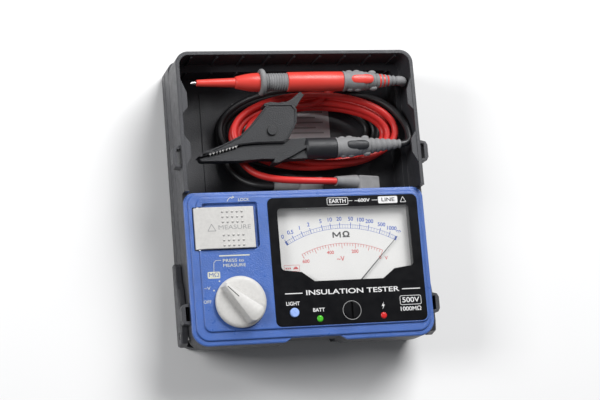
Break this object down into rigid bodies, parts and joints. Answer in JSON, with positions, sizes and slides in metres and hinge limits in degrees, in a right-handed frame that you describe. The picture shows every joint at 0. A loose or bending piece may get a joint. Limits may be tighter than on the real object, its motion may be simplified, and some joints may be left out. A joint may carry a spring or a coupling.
{
  "type": "insulation resistance tester",
  "caption": "Analogue insulation tester in a rectangular case: blue panel with meter, key and knob, folding hinged lid, and red and black test leads coiled in a storage tray.",
  "frame": {"origin": "on the surface that the folded lid rests on, below the centre of the case", "axes": "+X to the right of the front panel, +Y towards the lead tray, +Z out of the front panel"},
  "size_m": [0.159, 0.177, 0.0528],
  "materials": {
    "case_grey": "fine texture",
    "panel_blue": "satin",
    "bezel_black": "satin",
    "key_white": "satin",
    "window_clear": "clear",
    "scale_white": "printed",
    "pointer_black": "matt",
    "steel": "machined",
    "brass": "plated",
    "moving_coil": "enamelled winding on a metal frame",
    "magnet": "dark",
    "frame_black": "matt",
    "board_green": "solder resist",
    "part_black": "moulded",
    "button_blue": "satin",
    "lamp_white": "clear",
    "led_green": "translucent",
    "led_red": "translucent",
    "cell_jacket": "sleeve",
    "label_white": "printed film",
    "lead_red": "soft, satin",
    "lead_black": "soft, satin",
    "boot_grey": "soft, matt",
    "probe_red": "satin",
    "clip_black": "fine texture"
  },
  "bodies": {
    "case": {"case_body": "case_grey", "hinge_pins": "steel", "front_panel": "panel_blue", "bezel": "bezel_black", "meter_window": "window_clear", "meter_frame": "frame_black", "meter_magnet": "magnet", "scale_plate": "scale_white", "dial_lamps": "lamp_white", "key_pin": "steel", "key_spring": "steel", "key_switch": "part_black", "rotary_switch": "part_black", "light_switch": "part_black", "battery_led": "led_green", "live_circuit_led": "led_red", "main_board": "board_green", "transformer": "part_black", "capacitors": "part_black", "battery_holder": "frame_black", "batteries": "cell_jacket", "battery_contacts": "steel", "battery_cover": "case_grey", "battery_cover_screws": "steel", "case_screws": "steel", "lead_sockets": "brass", "plug_pins": "brass", "earth_plug": "boot_grey", "line_plug": "boot_grey", "tray_label": "label_white", "probe_tip": "steel", "probe_sleeve": "probe_red", "probe_grip": "boot_grey", "probe_body": "probe_red", "probe_boot": "boot_grey", "clip_body": "clip_black", "clip_lower_teeth": "steel", "clip_pin": "clip_black", "clip_spring": "steel", "clip_boot": "boot_grey", "red_coil": "lead_red", "black_coil": "lead_black", "red_cord_start": "lead_red", "red_cord_end": "lead_red", "black_cord_start": "lead_black", "black_cord_end": "lead_black"},
    "lid": {"lid": "case_grey", "left_hinge_arm": "case_grey", "right_hinge_arm": "case_grey", "arm_screws": "steel"},
    "knob": {"knob": "key_white", "switch_shaft": "steel"},
    "measure_key": {"measure_key": "key_white"},
    "light_button": {"light_button": "button_blue"},
    "pointer": {"pointer": "pointer_black", "meter_coil": "moving_coil"},
    "zero_screw": {"zero_screw": "bezel_black"},
    "clip_jaw": {"clip_jaw": "clip_black", "clip_upper_teeth": "steel"}
  },
  "joints": [
    {"name": "lid_hinge", "type": "hinge", "parent": "case", "child": "lid", "pos_m": [0, -0.08, 0.028], "axis": [-1, 0, 0], "range_deg": [0, 120]},
    {"name": "knob_turn", "type": "hinge", "parent": "case", "child": "knob", "pos_m": [-0.0449, -0.0635, 0.0453], "axis": [0, 0, 1], "range_deg": [0, 50]},
    {"name": "measure_key_hinge", "type": "hinge", "parent": "case", "child": "measure_key", "pos_m": [-0.0662, -0.01905, 0.0434], "axis": [0, -1, 0], "range_deg": [-3.5, 90], "stiffness_Nm_per_rad": 0.3},
    {"name": "light_button_press", "type": "slide", "parent": "case", "child": "light_button", "axis": [0, 0, -1], "range_m": [0, 0.0009], "stiffness_N_per_m": 800},
    {"name": "pointer_swing", "type": "hinge", "parent": "case", "child": "pointer", "pos_m": [0.02265, -0.0616, 0.0403], "axis": [0, 0, 1], "range_deg": [0, 88.8], "stiffness_Nm_per_rad": 0.001},
    {"name": "zero_screw_turn", "type": "hinge", "parent": "case", "child": "zero_screw", "pos_m": [0.02265, -0.0714, 0.0436], "axis": [0, 0, 1], "range_deg": [-150, 150]},
    {"name": "clip_jaw_hinge", "type": "hinge", "parent": "case", "child": "clip_jaw", "pos_m": [-0.0182, 0.039, 0.042], "axis": [0, 0, -1], "range_deg": [0, 25], "stiffness_Nm_per_rad": 0.3}
  ]
}
